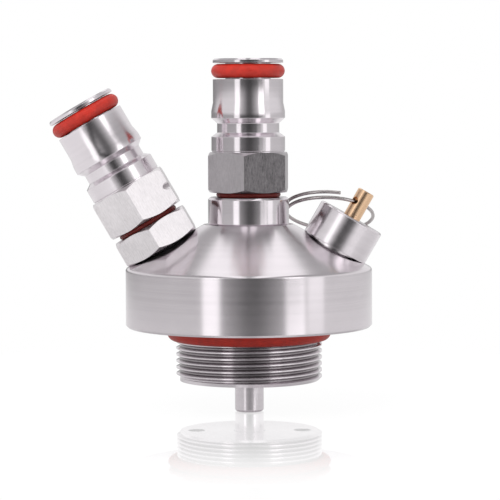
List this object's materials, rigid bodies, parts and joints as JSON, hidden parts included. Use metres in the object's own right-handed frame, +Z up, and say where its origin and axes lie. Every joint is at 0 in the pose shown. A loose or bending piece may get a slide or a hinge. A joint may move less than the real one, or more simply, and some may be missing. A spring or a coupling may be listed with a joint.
{
  "type": "mini keg tap",
  "caption": "Screw-in mini keg lid with a liquid post, an angled gas post and an angled pull-ring relief valve.",
  "frame": {"origin": "centre of the flange's underside, where the lid seats on the keg's rim, on the axis of the neck thread", "axes": "+Z up along the liquid post, -X towards the gas post, +X towards the relief valve, -Y towards the viewer of the picture"},
  "size_m": [0.0777, 0.058, 0.0831],
  "materials": {
    "turned_steel": "turned stainless steel, bright, with fine turning marks",
    "milled_steel": "turned and milled stainless steel, bright",
    "spring_steel": "drawn stainless wire",
    "brass": "turned brass, slightly dull",
    "red_silicone": "moulded silicone, satin",
    "dark_red_silicone": "moulded silicone, satin",
    "black_rubber": "moulded rubber, matte"
  },
  "bodies": {
    "tap": {"lid_body": "turned_steel", "keg_oring": "red_silicone", "liquid_collar": "turned_steel", "collar_oring": "black_rubber", "liquid_post": "milled_steel", "liquid_post_oring": "red_silicone", "liquid_base_oring": "dark_red_silicone", "liquid_poppet_spring": "spring_steel", "liquid_poppet_cage": "turned_steel", "liquid_dip_tube": "turned_steel", "liquid_tube_oring": "black_rubber", "gas_adapter": "milled_steel", "gas_port_oring": "black_rubber", "gas_post": "milled_steel", "gas_post_oring": "red_silicone", "gas_base_oring": "dark_red_silicone", "gas_poppet_spring": "spring_steel", "gas_poppet_cage": "turned_steel", "gas_dip_tube": "turned_steel", "gas_tube_oring": "black_rubber", "relief_valve_body": "turned_steel", "relief_port_oring": "black_rubber", "relief_valve_cap": "turned_steel", "relief_valve_spring": "spring_steel"},
    "liquid_poppet": {"liquid_poppet": "turned_steel", "liquid_poppet_seal": "black_rubber"},
    "gas_poppet": {"gas_poppet": "turned_steel", "gas_poppet_seal": "black_rubber"},
    "relief_stem": {"relief_valve_stem": "brass", "relief_valve_seal": "black_rubber"},
    "pull_ring": {"pull_ring": "spring_steel"}
  },
  "joints": [
    {"name": "liquid_poppet_press", "type": "slide", "parent": "tap", "child": "liquid_poppet", "axis": [0, 0, -1], "range_m": [0, 0.003], "stiffness_N_per_m": 400, "springref_m": -0.004, "deforming": ["liquid_poppet_spring"]},
    {"name": "gas_poppet_press", "type": "slide", "parent": "tap", "child": "gas_poppet", "axis": [0.5, 0, -0.866], "range_m": [0, 0.003], "stiffness_N_per_m": 400, "springref_m": -0.004, "deforming": ["gas_poppet_spring"]},
    {"name": "relief_stem_pull", "type": "slide", "parent": "tap", "child": "relief_stem", "axis": [0.5, 0, 0.866], "range_m": [0, 0.0025], "stiffness_N_per_m": 500, "springref_m": -0.008, "deforming": ["relief_valve_spring"]},
    {"name": "pull_ring_swing", "type": "hinge", "parent": "relief_stem", "child": "pull_ring", "pos_m": [0.02616, 0, 0.02882], "axis": [0.6436, 0.6691, -0.3716], "range_deg": [0, 235]}
  ]
}
